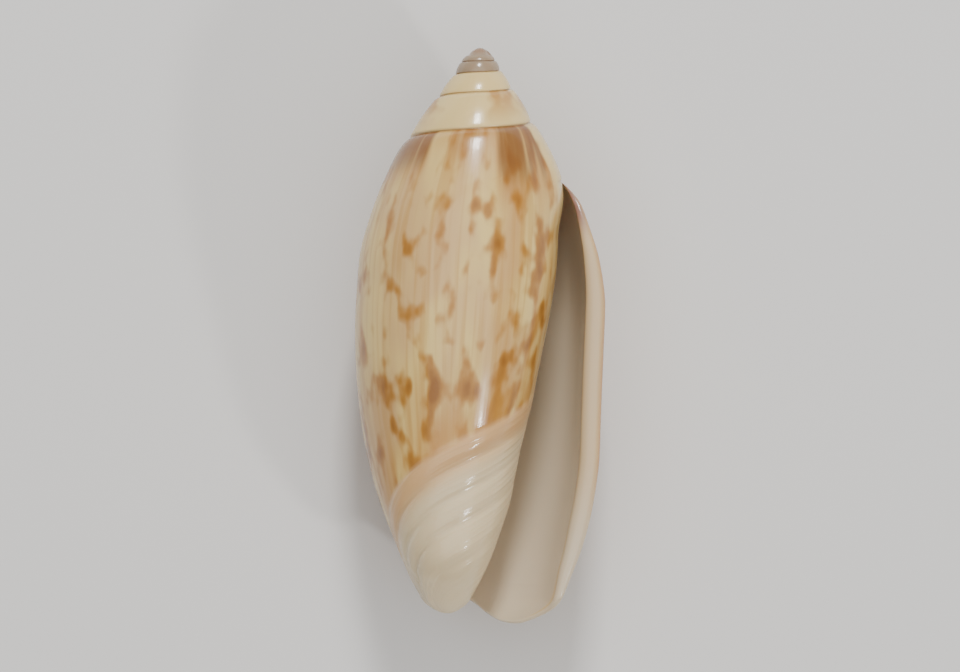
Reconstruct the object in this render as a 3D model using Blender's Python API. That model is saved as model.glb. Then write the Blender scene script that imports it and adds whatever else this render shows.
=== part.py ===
"""Olive shell, one solid that grew in one piece.

The shell lies on its back: +Y is the spire end, +X is the outer-lip side and +Z is the
side of the aperture. Every point of the outside is given by a growth angle and a depth.
The growth angle runs round the coil axis in degrees: 0 is +Z, 90 is -X, 180 is -Z and
270 is +X. It goes up by 360 for each whorl and ends at the outer lip. The depth is
measured from the apex towards the siphonal end. Sizes are in millimetres, and the
finished mesh is scaled to metres.
"""

import bisect
import math

import bmesh
import bpy
from mathutils import Vector

MM = 0.001

# Overall size
FLANK_END = 24.9          # depth where the flank turns over into the anterior end
TIP_DEPTH = 25.55         # depth of the columella's tip
LIP_END_HEIGHT = 1.90     # the lip side's end is rounder and lower than the flank's end by this

# The coil: the suture spirals down and out from the apex
SUTURE_DEPTH = 3.16       # depth of the suture at growth angle -90
SUTURE_STEP = 1.83        # growth of that depth in one whorl
SUTURE_RADIUS = 2.28      # distance of the suture from the axis at growth angle -90
SUTURE_WIDENING = 1.70    # growth of that distance in one whorl
PROTOCONCH_SWELL = 0.17   # the first whorls are blunter than the spiral by this much
COIL_TILT = 0.07          # the coil's own axis leans this much (slope) towards +X
AXIS_LEAN = 0.0567        # the columella leans this much towards -X
AXIS_LEAN_START = 9.0     # depth where that lean is complete
AXIS_SAG = 0.01           # and this much towards -Z

LIP_ANGLE = 260.0         # growth angle where the suture meets the outer lip
LIP_LEAD = 18.0           # the lip's middle reaches this much further round
LIP_CURVE = 5.0           # the lip curves forward over this depth below its suture
LIP_END = 24.6            # depth where the lip starts to turn back
LIP_TURN_BACK = 12.0      # degrees by which it turns back at its siphonal end
SPIRE_TURNS = 4

# The flank: distance from the axis at growth angle (first number), read at these depths
FLANK_DEPTHS = (7.5, 9.7, 11.8, 14.0, 16.2, 18.3, 20.5, 22.7, 23.8, 24.9, 26.0)
FLANKS = {
    -90: (3.99, 4.05, 3.87, 3.55, 3.24, 2.85, 2.52, 1.83, 1.43, 0.98, 0.45),
    0: (4.20, 4.36, 4.30, 4.04, 3.57, 3.07, 2.81, 2.58, 2.05, 1.11, 0.25),
    90: (4.53, 4.92, 4.94, 4.81, 4.50, 4.02, 3.31, 2.37, 1.86, 1.16, 0.45),
    180: (4.83, 5.40, 5.60, 5.58, 5.47, 5.18, 4.70, 3.88, 3.30, 2.48, 1.70),
    270: (5.14, 5.97, 6.32, 6.35, 6.38, 6.40, 6.22, 5.74, 5.28, 4.74, 4.17),
}
# The same 1 mm below the suture, where the shoulder rounds into the flank
SHOULDERS = {-90: 3.07, 0: 3.33, 90: 3.74, 180: 4.20, 270: 4.93}
SHOULDER_DROP = 0.2
SHOULDER_RISE = 0.31

# Spire whorls
WHORL_RISE = 0.18         # shoulder of a spire whorl over the suture above it
WHORL_OVERHANG = 0.08     # lower edge of a spire whorl over the suture below it
WHORL_BULGE = 0.09

# Fasciole: slanting folds round the columella, as depths at growth angle 0
FOLD_LINES = (17.7, 18.9, 20.3, 21.65, 23.4)
FOLD_SLOPE = 0.026        # depth gained per degree
FOLD_CURVE = 0.00025
FOLD_HEIGHT = 0.15
FOLD_END_ANGLE = 100.0
FOLD_DROP_LIMIT = 5.0

# Aperture and outer lip
LIP_THICKNESS = ((6.0, 0.20), (8.0, 0.45), (10.0, 0.75), (12.0, 0.90), (21.0, 0.90),
                 (23.0, 0.75), (25.0, 0.45), (27.0, 0.35))
LEAST_GAP = 0.02          # between the hollow's walls where they meet
WALL_THICKNESS = 0.55     # deeper inside the whorl
LIP_ROLL = 0.35           # the lip's edge rolls forward by this share of its thickness
HOLLOW_END = 44.0         # growth angle where the modelled hollow ends
ROOF_THICKNESS = 0.55
ROOF_ROUNDING = 0.8
FLOOR_ANGLES = (-60.0, 0.0, 90.0)
FLOOR_DEPTHS = (18.2, 19.6, 21.6)
FLOOR_ROUNDING = 1.2

# Siphonal margin: growth angles, and the depth where the wall ends there. It runs from the
# lip's end up across the back, and meets the columella at the notch's end
MARGIN_ANGLES = (-100.0, 0.0, 55.0, 90.0, 120.0, 140.0, 160.0, 180.0, 199.0, 212.0, 218.0,
                 230.0, 242.0, 254.0, 285.0)
MARGIN_DEPTHS = (24.35, 24.35, 23.60, 23.00, 22.80, 23.05, 23.65, 24.30, 24.85, 25.23, 25.41,
                 25.67, 25.84, 25.91, 25.91)
MARGIN_THICKNESS = 0.30
NOTCH_END = 23            # column where the wall's margin meets the columella
NOTCH_CLOSING = 16.0      # behind it the hollow is closed within these degrees
NOTCH_FLARE = 50.0        # the columella widens to meet it over these degrees
KNOB_SAG_START = 23.6
KNOB_SAG = 0.4            # its tip lies this much further back
KNOB_BLEND = 3.0          # depth over which the columella turns into its free end

# The flat spot that the shell rests on
REST_FLATTENING = 0.10

# Mesh
COLUMNS = 48
SPIRE_ROWS = (0.0, 0.08, 0.35, 0.70, 0.94, 1.0)
UPPER_FLANK_ROWS = 11
FOLD_BAND_ROWS = 3
MARGIN_ROWS = 6
KNOB_ROWS = 3
RIM_ROWS = 3

SHELL_COLOUR = (0.72, 0.56, 0.38, 1.0)
SHELL_ROUGHNESS = 0.22


def smoothstep(value):
    value = min(max(value, 0.0), 1.0)
    return value * value * (3.0 - 2.0 * value)


def mix(first, second, share):
    return first + (second - first) * share


def curve_through(knots, values):
    """A smooth curve through the points that doesn't overshoot them."""
    count = len(knots)
    steps = [knots[i + 1] - knots[i] for i in range(count - 1)]
    slopes = [(values[i + 1] - values[i]) / steps[i] for i in range(count - 1)]
    tangents = [slopes[0]] + [0.0] * (count - 2) + [slopes[-1]]
    for i in range(1, count - 1):
        before, after = slopes[i - 1], slopes[i]
        if before * after > 0.0:
            tangents[i] = 2.0 * before * after / (before + after)

    def read(at):
        if at <= knots[0]:
            return values[0] + tangents[0] * (at - knots[0])
        if at >= knots[-1]:
            return values[-1] + tangents[-1] * (at - knots[-1])
        i = bisect.bisect_right(knots, at) - 1
        i = min(i, count - 2)
        t = (at - knots[i]) / steps[i]
        h00 = (1 + 2 * t) * (1 - t) ** 2
        h10 = t * (1 - t) ** 2
        h01 = t * t * (3 - 2 * t)
        h11 = t * t * (t - 1)
        return (h00 * values[i] + h01 * values[i + 1]
                + steps[i] * (h10 * tangents[i] + h11 * tangents[i + 1]))

    return read


def suture_radius(angle):
    turns = (angle + 90.0) / 360.0
    swell = PROTOCONCH_SWELL * smoothstep((-angle - 720.0) / 250.0)
    return SUTURE_RADIUS * SUTURE_WIDENING ** turns + swell


def suture_depth(angle):
    turns = (angle + 90.0) / 360.0
    tilt = COIL_TILT * suture_radius(angle) * math.sin(math.radians(angle))
    return SUTURE_DEPTH * SUTURE_STEP ** turns - tilt


LIP_SUTURE = suture_depth(LIP_ANGLE)


def lip_lead(depth):
    """Degrees by which the lip, and each growth line, reaches past its start."""
    if depth <= LIP_SUTURE:
        return 0.0
    rise = (1.0 - (1.0 - min((depth - LIP_SUTURE) / LIP_CURVE, 1.0)) ** 4) ** 0.6
    fall = smoothstep((depth - LIP_END) / 1.6)
    return LIP_LEAD * rise - LIP_TURN_BACK * fall


def flank_profile(angle):
    suture = suture_depth(angle)
    radius = suture_radius(angle)
    knots = (suture, suture + SHOULDER_DROP, suture + 1.0) + FLANK_DEPTHS
    radii = (radius, radius + SHOULDER_RISE, SHOULDERS[angle]) + FLANKS[angle]
    return curve_through(knots, radii)


read_margin = curve_through(MARGIN_ANGLES, MARGIN_DEPTHS)
STATIONS = sorted(FLANKS)
PROFILES = {angle: flank_profile(angle) for angle in STATIONS}


def fold_relief(angle, depth):
    """Bulging folds of the fasciole, pinched along slanting lines."""
    level = depth - slant(angle)
    if not FOLD_LINES[0] < level < FOLD_LINES[-1]:
        return 0.0
    i = bisect.bisect_right(FOLD_LINES, level) - 1
    share = (level - FOLD_LINES[i]) / (FOLD_LINES[i + 1] - FOLD_LINES[i])
    fade = 1.0 - smoothstep((angle - 30.0) / (FOLD_END_ANGLE - 30.0))
    fade *= mix(0.35, 1.0, smoothstep((angle + 80.0) / 50.0))
    pinch = share if i == 0 else 1.0 - share if i == len(FOLD_LINES) - 2 else 1.0
    return FOLD_HEIGHT * fade * (math.sin(math.pi * share) ** 0.7 - 0.5 * pinch)


def body_radius(angle, depth):
    """Distance of the body whorl's outside from the axis."""
    suture = suture_depth(angle)
    share = (depth - suture) / (FLANK_END - suture)
    radii = []
    for station in STATIONS:
        start = suture_depth(station)
        radii.append(math.log(PROFILES[station](start + share * (FLANK_END - start))))
    return math.exp(curve_through(STATIONS, radii)(angle)) + fold_relief(angle, depth)


def spire_radius(angle, share):
    """Distance of a spire whorl's outside from the axis, share of its height down."""
    above = suture_radius(angle)
    below = suture_radius(angle + 360.0)
    size = below / suture_radius(LIP_ANGLE)
    if share <= 0.0:
        return above
    if share >= 1.0:
        return below
    upper = above + WHORL_RISE * size * smoothstep(share / 0.08)
    lower = below + WHORL_OVERHANG * size * smoothstep((1.0 - share) / 0.05)
    return mix(upper, lower, share) + WHORL_BULGE * size * math.sin(math.pi * share)


def axis_offset(depth):
    lean = AXIS_LEAN * depth * smoothstep(depth / AXIS_LEAN_START)
    return -lean, -AXIS_SAG * depth


def place(angle, radius, depth):
    """Point of the shell, in millimetres, apex at the origin and length along -Y."""
    turn = math.radians(angle)
    x, z = axis_offset(depth)
    return (x - radius * math.sin(turn), -depth, z + radius * math.cos(turn))


def column_angle(column, depth):
    return LIP_ANGLE - 360.0 * column / COLUMNS + lip_lead(depth)


def slant(angle):
    """How much lower the folds run at this angle than at angle 0."""
    return FOLD_SLOPE * angle + FOLD_CURVE * max(angle, 0.0) ** 2


def margin_depth(column):
    """Depth where the wall of this column ends."""
    depth = FLANK_END
    for _ in range(6):
        depth = mix(depth, read_margin(column_angle(column, depth)), 0.7)
    return depth


def flank_depths(column):
    """Depths of the body whorl's rows below the suture; the lower rows run with the folds."""
    start = LIP_ANGLE - 360.0 * column / COLUMNS
    suture = suture_depth(start)
    above = suture_depth(LIP_ANGLE - 360.0)
    margin = margin_depth(column)
    first = mix(suture, FLANK_END, (LIP_SUTURE - above) / (FLANK_END - above))
    drop = min(slant(start + LIP_LEAD), FOLD_DROP_LIMIT)
    lines = [min(line + drop, mix(min(margin, FLANK_END) - 0.35, line + drop, 0.03))
             for line in FOLD_LINES]
    depths = [mix(suture, first, row) for row in SPIRE_ROWS]
    depths += [mix(first, lines[0], i / UPPER_FLANK_ROWS) for i in range(1, UPPER_FLANK_ROWS + 1)]
    for upper, lower in zip(lines, lines[1:]):
        depths += [mix(upper, lower, i / FOLD_BAND_ROWS) for i in range(1, FOLD_BAND_ROWS + 1)]
    depths += [mix(lines[-1], margin, math.sin(math.pi / 2.0 * i / MARGIN_ROWS))
               for i in range(1, MARGIN_ROWS + 1)]
    return depths


def wall_radius(angle, depth):
    """The body whorl's outside, with the rounded end of the lip side."""
    beyond = max(depth - FLANK_END, 0.0) / LIP_END_HEIGHT
    return body_radius(angle, depth) * math.sqrt(max(1.0 - beyond * beyond, 0.0))


def notch_start():
    """Growth angle of the line that ends where the margin meets the columella."""
    return LIP_ANGLE - 360.0 * NOTCH_END / COLUMNS


def knob_radius(start, depth):
    """The columella's free end, behind: its core, wider where the margin meets it."""
    core = body_radius(LIP_ANGLE - 360.0 + lip_lead(depth), depth)
    meeting = body_radius(notch_start() + lip_lead(depth), depth)
    return mix(meeting, core, smoothstep((start - notch_start()) / NOTCH_FLARE))


def knob_depths(top):
    """Depths of the rows on the columella's free end, from below its top to the tip."""
    depths = [mix(top, FLANK_END, i / 2.0) for i in (1, 2)]
    depths += [FLANK_END + (TIP_DEPTH - FLANK_END) * math.sin(math.pi / 2.0 * i / KNOB_ROWS)
               for i in range(1, KNOB_ROWS)]
    return depths


def body_point(column, depth):
    angle = column_angle(column, depth)
    radius = wall_radius(angle, depth)
    last_turn = (depth - suture_depth(angle)) / (LIP_SUTURE - suture_depth(-100.0))
    if angle < -60.0 and last_turn < 1.0:
        spire = spire_radius(angle, last_turn)
        radius = mix(spire, radius, smoothstep((angle + 100.0) / 40.0))
    if column >= NOTCH_END:
        return knob_end(angle, radius, depth)
    return place(angle, radius, depth)


def knob_end(angle, radius, depth):
    """Point of the columella's free end, which closes to a rounded tip that lies back a little."""
    beyond = max(depth - FLANK_END, 0.0) / (TIP_DEPTH - FLANK_END)
    x, y, z = place(angle, radius * math.sqrt(max(1.0 - beyond * beyond, 0.0)), depth)
    return x, y, z - KNOB_SAG * smoothstep((depth - KNOB_SAG_START) / (TIP_DEPTH - KNOB_SAG_START))


def knob_points(start, top, radius_at):
    """Points down the columella's free end from its top, where its radius is a function."""
    points = []
    for depth in knob_depths(top):
        angle = start + lip_lead(depth)
        points.append(knob_end(angle, radius_at(angle, depth), depth))
    return points


def column_start(column):
    return LIP_ANGLE - 360.0 * column / COLUMNS


def wall_thickness(start, depth, margin):
    """Thickness of the outer wall: thick at the lip, thin along the siphonal margin."""
    thickness = lip_thickness(depth)
    inward = smoothstep((LIP_ANGLE - start) / 40.0)
    thickness = mix(thickness, min(thickness, WALL_THICKNESS), inward)
    edge = MARGIN_THICKNESS * smoothstep((start - notch_start()) / 40.0)
    above = min(max((margin - depth) / 2.5, 0.0), 1.0)
    thickness = mix(edge, thickness, above * (2.0 - above))
    return thickness * smoothstep(depth - suture_depth(start))


def hollow_ends(column):
    """Depths of the hollow's roof and foot in this column, and the foot's radius."""
    start = column_start(column)
    inward = LIP_ANGLE - start
    roof = suture_depth(start) + ROOF_THICKNESS * smoothstep(inward / 40.0)
    if column <= NOTCH_END:
        foot = margin_depth(column)
        return roof, foot, wall_radius(start + lip_lead(foot), foot)
    notch = margin_depth(NOTCH_END)
    closing = smoothstep((notch_start() - start) / 35.0)
    foot = mix(notch, hollow_floor(start), closing)
    outside = wall_radius(start + lip_lead(foot), foot)
    middle = (outside - WALL_THICKNESS + columella_radius(start, foot)) / 2.0
    wall = WALL_THICKNESS * smoothstep((notch_start() - start) / NOTCH_CLOSING)
    return roof, foot, min(mix(outside, middle, closing), outside - wall)


def columella_radius(start, depth):
    """The wall of the last whorl but one, further in: narrower by the coil's own growth."""
    flank = body_radius(start - 360.0 + lip_lead(depth), depth)
    return flank * SUTURE_WIDENING ** ((start - LIP_ANGLE) / 360.0)


def rounded(radius, middle, height, rounding):
    """Pulls a wall in to the middle of the hollow near its roof or its foot."""
    share = min(max(height / rounding, 0.0), 1.0)
    return middle + (radius - middle) * math.sqrt(1.0 - (1.0 - share) ** 2)


def hollow_radii(column, depth):
    """Inner and outer radius of the hollow."""
    start = column_start(column)
    roof, foot, foot_radius = hollow_ends(column)
    inner = columella_radius(start, depth)
    knob = smoothstep((depth - foot + KNOB_BLEND) / KNOB_BLEND)
    knob *= smoothstep((start - notch_start() + 30.0) / 30.0)
    inner = mix(inner, knob_radius(start, depth), knob)
    outside = wall_radius(start + lip_lead(depth), depth)
    wall = WALL_THICKNESS * smoothstep((notch_start() - start) / NOTCH_CLOSING)
    outer = outside - max(wall_thickness(start, depth, foot), wall)
    inner = min(inner, outer - LEAST_GAP)
    middle = (inner + outer) / 2.0
    inner = rounded(inner, middle, depth - roof, ROOF_ROUNDING)
    outer = rounded(outer, middle, depth - roof, ROOF_ROUNDING)
    if column > NOTCH_END:
        inner = rounded(inner, foot_radius, foot - depth, FLOOR_ROUNDING)
        outer = rounded(outer, foot_radius, foot - depth, FLOOR_ROUNDING)
    return inner, outer


def shares(depths):
    return [(depth - depths[0]) / (depths[-1] - depths[0]) for depth in depths]


def build_shell():
    """The whole skin: the outside, the lip's rolled edge and the hollow's two walls."""
    mesh = bmesh.new()
    tip = mesh.verts.new(knob_end(0.0, 0.0, TIP_DEPTH))
    last_spire_row = len(SPIRE_ROWS) - 1

    outside = []
    for column in range(COLUMNS + 1):
        verts = [mesh.verts.new(body_point(column, depth)) for depth in flank_depths(column)]
        if column == COLUMNS:
            mesh.verts.remove(verts[last_spire_row])
            verts[last_spire_row] = outside[0][0]
        outside.append(verts)
    knobs = {}
    for column in range(NOTCH_END, COLUMNS + 1):
        points = knob_points(column_start(column), margin_depth(column), body_radius)
        knobs[column] = [outside[column][-1]] + [mesh.verts.new(p) for p in points] + [tip]

    inner, outer = build_hollow(mesh, outside, knobs, last_spire_row)
    spire = [outside[COLUMNS][:last_spire_row + 1]]
    tops = [verts[0] for verts in outside]
    for column in range(COLUMNS + 1, COLUMNS * (SPIRE_TURNS + 1) + 1):
        angle = column_start(column)
        top, bottom = suture_depth(angle), suture_depth(angle + 360.0)
        verts = [mesh.verts.new(place(angle, spire_radius(angle, share), mix(top, bottom, share)))
                 for share in SPIRE_ROWS[:-1]]
        tops.append(verts[0])
        spire.append(verts + [tops[column - COLUMNS]])

    for columns in (outside, [knobs[column] for column in sorted(knobs)], spire, inner, outer):
        loft(mesh, columns)
    bridge(mesh, outer[-1], inner[-1])
    close_apex(mesh, spire)
    return mesh


def build_hollow(mesh, outside, knobs, last_spire_row):
    """Columns of the hollow's inner and outer wall, joined to the outside along the lip."""
    inner_shares = shares(depths_of(outside[COLUMNS][last_spire_row:]))
    first_row = inner_shares[1] / (last_spire_row + 1)
    deep_shares = [first_row * i for i in range(last_spire_row + 1)] + inner_shares[1:]
    knob_top = depths_of(outside[COLUMNS])[-1]
    tip = knobs[COLUMNS][-1]
    inner, outer, backs = [outside[COLUMNS][last_spire_row:]], [], [knobs[COLUMNS]]

    for column in range(round((LIP_ANGLE - HOLLOW_END) * COLUMNS / 360.0) + 1):
        start = column_start(column)
        roof, foot, _ = hollow_ends(column)
        if column > 0:
            inner_foot = mix(knob_top, foot, min(column / NOTCH_END, 1.0))
            depths = [mix(roof, inner_foot, share) for share in inner_shares]
            verts = [wall_vert(mesh, column, depth, 0) for depth in depths]
            if column == NOTCH_END:
                verts = end_at(mesh, verts, outside[NOTCH_END][-1])
                backs.append(knobs[NOTCH_END])
            elif column < NOTCH_END:
                points = knob_points(start, inner_foot, lambda angle, d: knob_radius(start, d))
                backs.append([verts[-1]] + [mesh.verts.new(point) for point in points] + [tip])
            inner.append(verts)
        blend = smoothstep(column / NOTCH_END)
        lip_shares = shares(depths_of(outside[column]))
        depths = [mix(roof, foot, mix(near, deep, blend))
                  for near, deep in zip(lip_shares, deep_shares)]
        verts = [inner[column][0]] + [wall_vert(mesh, column, depth, 1) for depth in depths[1:]]
        if column >= NOTCH_END:
            verts = end_at(mesh, verts, inner[column][-1])
        outer.append(verts)

    lip = roll_edge(mesh, outside[0], outer[0], lip_forward)
    margin = roll_edge(mesh, [verts[-1] for verts in outside[:NOTCH_END + 1]],
                       [verts[-1] for verts in outer[:NOTCH_END + 1]], downward, lip[-1])
    for columns in (backs, lip, margin):
        loft(mesh, columns)
    return inner, outer


def depths_of(verts):
    return [-vert.co.y for vert in verts]


def wall_vert(mesh, column, depth, side):
    """Point of the hollow's inner wall (side 0) or outer wall (side 1)."""
    angle = column_start(column) + lip_lead(depth)
    return mesh.verts.new(place(angle, hollow_radii(column, depth)[side], depth))


def end_at(mesh, verts, shared):
    mesh.verts.remove(verts[-1])
    return verts[:-1] + [shared]


def lip_forward(first, second):
    """How far, and which way, the lip's edge rolls forward."""
    turn = math.radians(LIP_ANGLE + lip_lead(-first.y))
    return Vector((-math.cos(turn), 0.0, -math.sin(turn))) * (second - first).length * LIP_ROLL


def downward(first, second):
    return Vector((0.0, -1.0, 0.0)) * (second - first).length * LIP_ROLL


def roll_edge(mesh, first_row, second_row, direction, start_row=None):
    """Rows that roll a half round edge from one line of points to another."""
    rows = []
    for i, (first, second) in enumerate(zip(first_row, second_row)):
        if first is second:
            rows.append([first])
            continue
        if i == 0 and start_row:
            rows.append(start_row)
            continue
        a, b = first.co, second.co
        out = direction(a, b)
        row = [first]
        for step in range(1, RIM_ROWS):
            turn = math.pi * step / RIM_ROWS
            row.append(mesh.verts.new(a.lerp(b, (1.0 - math.cos(turn)) / 2.0)
                                      + out * math.sin(turn)))
        rows.append(row + [second])
    return rows


def loft(mesh, columns):
    """Faces between neighbouring columns of points; a column of one point is a corner."""
    for later, earlier in zip(columns, columns[1:]):
        count = max(len(later), len(earlier))
        later = later * count if len(later) == 1 else later
        earlier = earlier * count if len(earlier) == 1 else earlier
        for row in range(count - 1):
            corners = [later[row], earlier[row], earlier[row + 1], later[row + 1]]
            corners = list(dict.fromkeys(corners))
            if len(corners) > 2:
                mesh.faces.new(corners)


def bridge(mesh, outer, inner):
    """Triangles between two lines of points that start and end at the same points."""
    i = j = 0
    while i < len(outer) - 1 or j < len(inner) - 1:
        outer_depth = -outer[i + 1].co.y if i < len(outer) - 1 else math.inf
        inner_depth = -inner[j + 1].co.y if j < len(inner) - 1 else math.inf
        if outer_depth <= inner_depth:
            corners = (outer[i], outer[i + 1], inner[j])
            i += 1
        else:
            corners = (outer[i], inner[j + 1], inner[j])
            j += 1
        if len(set(corners)) == 3:
            mesh.faces.new(corners)


def close_apex(mesh, columns):
    """Dome over the first whorl."""
    last = len(columns) - 1
    ring = [columns[last - i][0] for i in range(COLUMNS + 1)]
    ring += columns[last][-2:0:-1]
    for reach, rise in ((0.66, 0.42), (0.33, 0.10)):
        inner = [mesh.verts.new((v.co.x * reach, v.co.y * rise, v.co.z * reach)) for v in ring]
        for i, vert in enumerate(ring):
            j = (i + 1) % len(ring)
            mesh.faces.new((vert, ring[j], inner[j], inner[i]))
        ring = inner
    apex = mesh.verts.new((0.0, 0.0, 0.0))
    for i, vert in enumerate(ring):
        mesh.faces.new((vert, ring[(i + 1) % len(ring)], apex))


lip_thickness = curve_through([depth for depth, _ in LIP_THICKNESS],
                              [size for _, size in LIP_THICKNESS])
hollow_floor = curve_through(FLOOR_ANGLES, FLOOR_DEPTHS)


def settle(points):
    """Shift that puts the lowest point REST_FLATTENING under the floor, X and Y centred."""
    lows = [min(point[i] for point in points) for i in range(3)]
    highs = [max(point[i] for point in points) for i in range(3)]
    return (-(lows[0] + highs[0]) / 2.0, -(lows[1] + highs[1]) / 2.0, -lows[2] - REST_FLATTENING)


def make_object(name, mesh, shift, collection):
    """Turn a mesh in shell coordinates into an object in metres."""
    for vert in mesh.verts:
        vert.co = [(value + offset) * MM for value, offset in zip(vert.co, shift)]
    bmesh.ops.recalc_face_normals(mesh, faces=mesh.faces)
    data = bpy.data.meshes.new(name)
    mesh.to_mesh(data)
    mesh.free()
    thing = bpy.data.objects.new(name, data)
    collection.objects.link(thing)
    return thing


def shell_material():
    material = bpy.data.materials.new("olive_shell")
    material.use_nodes = True
    surface = material.node_tree.nodes["Principled BSDF"]
    surface.inputs["Base Color"].default_value = SHELL_COLOUR
    surface.inputs["Roughness"].default_value = SHELL_ROUGHNESS
    surface.inputs["Metallic"].default_value = 0.0
    return material


def main():
    for thing in list(bpy.data.objects):
        bpy.data.objects.remove(thing)
    parts = bpy.data.collections.new("olive_shell")
    bpy.context.scene.collection.children.link(parts)

    mesh = build_shell()
    shift = settle([tuple(vert.co) for vert in mesh.verts])
    for vert in mesh.verts:
        vert.co.z = max(vert.co.z, -shift[2])
    shell = make_object("shell", mesh, shift, parts)
    shell.data.materials.append(shell_material())
    shell.data.shade_smooth()


main()
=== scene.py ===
"""Olive shell in the shared frame: a fine skin over the CAD shell, its markings and its light.

The skin is given as in the CAD, by a growth angle and a depth. The growth angle runs round
the coil axis in degrees: 0 is +Z, 90 is -X, 180 is -Z and 270 is +X. It goes up by 360 for
each whorl and ends at the outer lip. The depth is measured from the apex towards the
siphonal end. Sizes are in millimetres, and the finished mesh is scaled to metres.
"""

import bisect
import functools
import math

import bmesh
import bpy
import numpy as np
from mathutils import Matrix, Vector


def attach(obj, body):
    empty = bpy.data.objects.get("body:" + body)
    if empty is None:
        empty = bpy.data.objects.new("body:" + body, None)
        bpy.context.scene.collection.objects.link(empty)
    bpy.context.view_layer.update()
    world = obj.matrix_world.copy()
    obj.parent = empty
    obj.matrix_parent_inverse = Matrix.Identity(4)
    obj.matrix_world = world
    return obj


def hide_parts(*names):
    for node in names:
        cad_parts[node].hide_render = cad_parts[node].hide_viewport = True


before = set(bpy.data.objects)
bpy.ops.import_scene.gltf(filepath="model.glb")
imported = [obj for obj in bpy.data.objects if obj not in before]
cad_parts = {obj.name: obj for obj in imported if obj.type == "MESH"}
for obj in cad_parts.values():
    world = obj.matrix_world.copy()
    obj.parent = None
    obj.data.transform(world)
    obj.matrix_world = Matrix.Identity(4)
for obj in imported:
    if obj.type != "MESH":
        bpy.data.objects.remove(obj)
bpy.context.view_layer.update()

MM = 0.001

# Overall size
FLANK_END = 24.9          # depth where the flank turns over into the anterior end
TIP_DEPTH = 25.55         # depth of the columella's tip
LIP_END_HEIGHT = 1.90     # the lip side's end is rounder and lower than the flank's end by this

# The coil: the suture spirals down and out from the apex
SUTURE_DEPTH = 3.16       # depth of the suture at growth angle -90
SUTURE_STEP = 1.83        # growth of that depth in one whorl
SUTURE_RADIUS = 2.28      # distance of the suture from the axis at growth angle -90
SUTURE_WIDENING = 1.70    # growth of that distance in one whorl
PROTOCONCH_SWELL = 0.17   # the first whorls are blunter than the spiral by this much
COIL_TILT = 0.07          # the coil's own axis leans this much (slope) towards +X
AXIS_LEAN = 0.0567        # the columella leans this much towards -X
AXIS_LEAN_START = 9.0     # depth where that lean is complete
AXIS_SAG = 0.01           # and this much towards -Z

LIP_ANGLE = 260.0         # growth angle where the suture meets the outer lip
LIP_LEAD = 18.0           # the lip's middle reaches this much further round
LIP_CURVE = 5.0           # the lip curves forward over this depth below its suture
LIP_END = 24.6            # depth where the lip starts to turn back
LIP_TURN_BACK = 7.0       # degrees by which it turns back at its siphonal end
LIP_TURN_LENGTH = 1.6     # depth over which it does so
SPIRE_TURNS = 4           # whorls above the last one

# The flank: distance from the axis at growth angle (first number), read at these depths
FLANK_DEPTHS = (7.5, 9.7, 11.8, 14.0, 16.2, 18.3, 20.5, 22.7, 23.8, 24.9, 26.0)
FLANKS = {
    -90: (3.99, 4.05, 3.87, 3.55, 3.24, 2.85, 2.52, 1.83, 1.43, 0.98, 0.45),
    0: (4.20, 4.36, 4.30, 4.04, 3.57, 3.07, 2.81, 2.58, 2.05, 1.11, 0.25),
    90: (4.53, 4.92, 4.94, 4.81, 4.50, 4.02, 3.31, 2.37, 1.86, 1.16, 0.45),
    180: (4.83, 5.40, 5.60, 5.58, 5.47, 5.18, 4.70, 3.88, 3.30, 2.48, 1.70),
    270: (5.14, 5.97, 6.32, 6.35, 6.38, 6.40, 6.22, 5.76, 5.36, 4.90, 4.36),
}
# The same 1 mm below the suture, where the shoulder rounds into the flank
SHOULDERS = {-90: 3.07, 0: 3.33, 90: 3.74, 180: 4.20, 270: 4.93}
SHOULDER_DROP = 0.2       # the shoulder starts this far below the suture
SHOULDER_RISE = 0.31      # and stands out this much there

# Spire whorls
WHORL_RISE = 0.18         # shoulder of a spire whorl over the suture above it
WHORL_OVERHANG = 0.13     # lower edge of a spire whorl over the suture below it
WHORL_BULGE = 0.12        # swelling halfway down
WHORL_SCALING = 0.6       # the steps shrink less than the whorls do

# Fasciole: slanting folds round the columella, as depths at growth angle 0
FOLD_LINES = (17.7, 18.9, 20.3, 21.65, 23.4)
FOLD_SLOPE = 0.026        # depth gained per degree
FOLD_CURVE = 0.00025      # and more per squared degree behind angle 0
FOLD_HEIGHT = 0.15
FOLD_FADE_ANGLE = 30.0    # the folds fade from here
FOLD_END_ANGLE = 100.0    # to here
FOLD_FRONT_ANGLE = -70.0  # and are low here, in front,
FOLD_FRONT_LENGTH = 60.0  # rising over these degrees
FOLD_FRONT_SHARE = 0.15   # from this share of their height
FOLD_PINCH = 0.5          # depth of the pinched lines, as a share of the height
FOLD_DROP_LIMIT = 5.0     # rows of the mesh follow the folds down by no more than this

# Aperture and outer lip
LIP_THICKNESS = ((6.0, 0.20), (8.0, 0.45), (10.0, 0.75), (12.0, 0.90), (21.0, 0.90),
                 (23.0, 0.75), (25.0, 0.45), (27.0, 0.35))
LEAST_GAP = 0.02          # between the hollow's walls where they meet
WALL_THICKNESS = 0.55     # deeper inside the whorl
WALL_THINNING = 40.0      # the outer wall thins to that over these degrees behind the lip
LIP_ROLL = 0.35           # the lip's edge rolls forward by this share of its thickness
HOLLOW_END = 44.0         # growth angle where the modelled hollow ends
ROOF_THICKNESS = 0.55
ROOF_ROUNDING = 0.8
FLOOR_ANGLES = (-60.0, 0.0, 90.0)
FLOOR_DEPTHS = (18.2, 19.6, 21.6)
FLOOR_ROUNDING = 1.2
CORNER_ROUNDING = 1.1     # the lip's lower corner is rounded by this much
CORNER_RADIUS = 4.6       # distance from the axis there

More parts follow.
